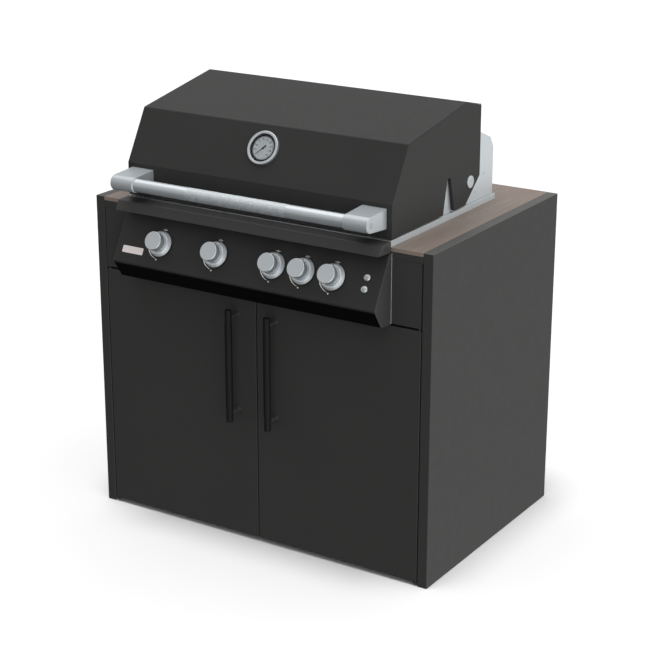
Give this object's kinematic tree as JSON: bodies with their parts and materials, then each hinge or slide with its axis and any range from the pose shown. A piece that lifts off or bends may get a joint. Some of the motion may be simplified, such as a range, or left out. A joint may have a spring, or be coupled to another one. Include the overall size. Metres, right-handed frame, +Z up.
{
  "type": "gas barbecue grill",
  "caption": "Gas barbecue grill head with a hinged lid, sloping control panel and round knobs, built into an anthracite two-door outdoor-kitchen cabinet with a wood-look worktop.",
  "frame": {"origin": "middle of the whole object's footprint, on the floor", "axes": "+Z up, +Y towards the back, +X to the right of someone who stands in front of the doors"},
  "size_m": [1.048, 0.7893, 1.1962],
  "materials": {
    "cabinet_board": "smooth anthracite melamine facing, satin",
    "worktop_board": "grey-brown wood-look laminate, matt",
    "door_handle": "black, satin",
    "grill_enamel": "anthracite enamel, satin",
    "sheet_steel": "brushed",
    "trim_steel": "brushed",
    "handle_metal": "satin",
    "knob_metal": "satin with a polished edge",
    "button_metal": "polished",
    "grate_iron": "seasoned, matt",
    "burner_steel": "plain",
    "gas_brass": "plain",
    "gauge_metal": "polished",
    "gauge_dial": "matt grey print",
    "gauge_needle": "matt black",
    "gauge_glass": "clear"
  },
  "bodies": {
    "cabinet": {"back_panel": "cabinet_board", "burner_1": "burner_steel", "burner_2": "burner_steel", "burner_3": "burner_steel", "burner_4": "burner_steel", "control_panel": "grill_enamel", "drip_sheet_left": "sheet_steel", "drip_sheet_right": "sheet_steel", "filler_panel_left": "cabinet_board", "filler_panel_right": "cabinet_board", "flame_tamer_left": "burner_steel", "flame_tamer_right": "burner_steel", "floor_board": "cabinet_board", "front_rail_left": "cabinet_board", "front_rail_right": "cabinet_board", "front_wall": "sheet_steel", "gas_manifold": "gas_brass", "grate_left": "grate_iron", "grate_right": "grate_iron", "panel_band": "grill_enamel", "rear_burner": "burner_steel", "rear_wall": "sheet_steel", "side_panel_left": "cabinet_board", "side_panel_right": "cabinet_board", "side_plate_left": "sheet_steel", "side_plate_right": "sheet_steel", "trim_frame": "trim_steel", "warming_rack": "burner_steel", "worktop_back": "worktop_board", "worktop_left": "worktop_board", "worktop_right": "worktop_board"},
    "door_left": {"door_left": "cabinet_board", "door_handle_left": "door_handle"},
    "door_right": {"door_right": "cabinet_board", "door_handle_right": "door_handle"},
    "lid": {"lid_shell": "grill_enamel", "lid_side_left": "grill_enamel", "lid_side_right": "grill_enamel", "lid_pivot_left": "handle_metal", "lid_pivot_right": "handle_metal", "handle_block_left": "handle_metal", "handle_block_right": "handle_metal", "handle_bar": "handle_metal", "thermometer_housing": "gauge_metal", "thermometer_dial": "gauge_dial", "thermometer_glass": "gauge_glass"},
    "needle": {"thermometer_needle": "gauge_needle"},
    "tray": {"grease_tray": "sheet_steel"},
    "button_upper": {"push_button_upper": "button_metal"},
    "button_lower": {"push_button_lower": "button_metal"},
    "stem_1": {"valve_stem_1": "gas_brass"},
    "knob_1": {"knob_1": "knob_metal"},
    "stem_2": {"valve_stem_2": "gas_brass"},
    "knob_2": {"knob_2": "knob_metal"},
    "stem_3": {"valve_stem_3": "gas_brass"},
    "knob_3": {"knob_3": "knob_metal"},
    "stem_4": {"valve_stem_4": "gas_brass"},
    "knob_4": {"knob_4": "knob_metal"},
    "stem_5": {"valve_stem_5": "gas_brass"},
    "knob_5": {"knob_5": "knob_metal"}
  },
  "joints": [
    {"name": "lid_hinge", "type": "hinge", "parent": "cabinet", "child": "lid", "pos_m": [0, 0.10065, 0.98], "axis": [-1, 0, 0], "range_deg": [0, 90]},
    {"name": "door_left_hinge", "type": "hinge", "parent": "cabinet", "child": "door_left", "pos_m": [-0.4871, -0.29335, 0.012], "axis": [0, 0, -1], "range_deg": [0, 105]},
    {"name": "door_right_hinge", "type": "hinge", "parent": "cabinet", "child": "door_right", "pos_m": [0.4871, -0.29335, 0.012], "axis": [0, 0, 1], "range_deg": [0, 105]},
    {"name": "tray_slide", "type": "slide", "parent": "cabinet", "child": "tray", "axis": [0, -1, 0], "range_m": [0, 0.1]},
    {"name": "knob_1_push", "type": "slide", "parent": "cabinet", "child": "stem_1", "axis": [0, 0.8842, -0.4671], "range_m": [0, 0.003], "stiffness_N_per_m": 2000, "springref_m": -0.003},
    {"name": "knob_1_turn", "type": "hinge", "parent": "stem_1", "child": "knob_1", "pos_m": [-0.2682, -0.346, 0.81325], "axis": [0, -0.8842, 0.4671], "range_deg": [0, 180]},
    {"name": "knob_2_push", "type": "slide", "parent": "cabinet", "child": "stem_2", "axis": [0, 0.8842, -0.4671], "range_m": [0, 0.003], "stiffness_N_per_m": 2000, "springref_m": -0.003},
    {"name": "knob_2_turn", "type": "hinge", "parent": "stem_2", "child": "knob_2", "pos_m": [-0.0894, -0.346, 0.81325], "axis": [0, -0.8842, 0.4671], "range_deg": [0, 180]},
    {"name": "knob_3_push", "type": "slide", "parent": "cabinet", "child": "stem_3", "axis": [0, 0.8842, -0.4671], "range_m": [0, 0.003], "stiffness_N_per_m": 2000, "springref_m": -0.003},
    {"name": "knob_3_turn", "type": "hinge", "parent": "stem_3", "child": "knob_3", "pos_m": [0.0894, -0.346, 0.81325], "axis": [0, -0.8842, 0.4671], "range_deg": [0, 180]},
    {"name": "knob_4_push", "type": "slide", "parent": "cabinet", "child": "stem_4", "axis": [0, 0.8842, -0.4671], "range_m": [0, 0.003], "stiffness_N_per_m": 2000, "springref_m": -0.003},
    {"name": "knob_4_turn", "type": "hinge", "parent": "stem_4", "child": "knob_4", "pos_m": [0.1788, -0.346, 0.81325], "axis": [0, -0.8842, 0.4671], "range_deg": [0, 180]},
    {"name": "knob_5_push", "type": "slide", "parent": "cabinet", "child": "stem_5", "axis": [0, 0.8842, -0.4671], "range_m": [0, 0.003], "stiffness_N_per_m": 2000, "springref_m": -0.003},
    {"name": "knob_5_turn", "type": "hinge", "parent": "stem_5", "child": "knob_5", "pos_m": [0.2682, -0.346, 0.81325], "axis": [0, -0.8842, 0.4671], "range_deg": [0, 180]},
    {"name": "button_upper_push", "type": "slide", "parent": "cabinet", "child": "button_upper", "axis": [0, 0.8842, -0.4671], "range_m": [0, 0.003], "stiffness_N_per_m": 1000, "springref_m": -0.003},
    {"name": "button_lower_push", "type": "slide", "parent": "cabinet", "child": "button_lower", "axis": [0, 0.8842, -0.4671], "range_m": [0, 0.003], "stiffness_N_per_m": 1000, "springref_m": -0.003},
    {"name": "needle_turn", "type": "hinge", "parent": "lid", "child": "needle", "pos_m": [0, -0.25445, 1.08769], "axis": [0, 0.8716, -0.4903], "range_deg": [0, 270], "stiffness_Nm_per_rad": 0.0002}
  ]
}
